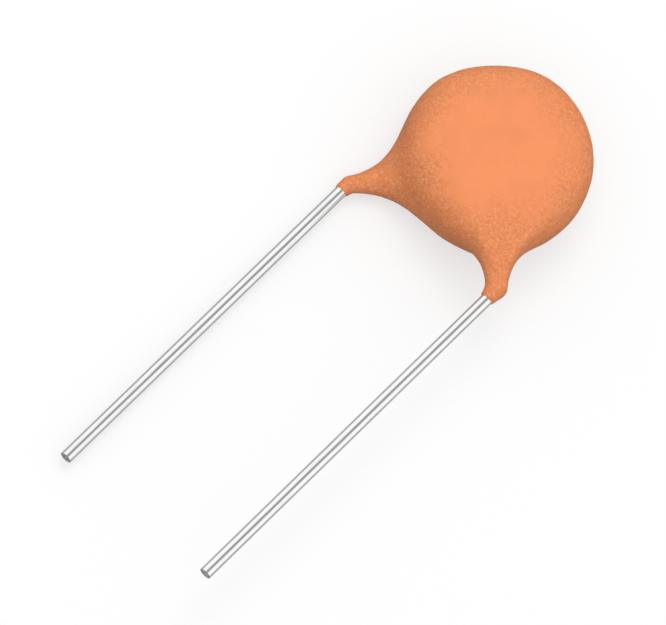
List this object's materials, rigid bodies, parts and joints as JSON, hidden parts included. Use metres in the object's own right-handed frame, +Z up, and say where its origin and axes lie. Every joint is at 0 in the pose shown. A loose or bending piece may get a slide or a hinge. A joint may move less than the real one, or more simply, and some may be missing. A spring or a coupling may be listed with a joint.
{
  "type": "ceramic disc capacitor",
  "caption": "Radial-leaded ceramic disc capacitor: a ceramic disc with silver electrodes and soldered wire leads, dipped in orange-brown resin.",
  "frame": {"origin": "on the flat underside the part lies on, level with the middle of the disc along Y and halfway between the two leads along X", "axes": "+Z up, out of the front face; the leads lie along -Y; +X runs across the leads from the rear lead to the front lead"},
  "size_m": [0.0085, 0.0267, 0.0035],
  "materials": {
    "resin_coating": "matte",
    "bare_ceramic": "matte",
    "fired_silver": "matte",
    "solder": "satin",
    "tinned_wire": "gloss"
  },
  "bodies": {
    "root": {"coating": "resin_coating", "ceramic_disc": "bare_ceramic", "front_electrode": "fired_silver", "rear_electrode": "fired_silver", "front_solder_joint": "solder", "rear_solder_joint": "solder", "front_lead": "tinned_wire", "rear_lead": "tinned_wire"}
  },
  "joints": []
}
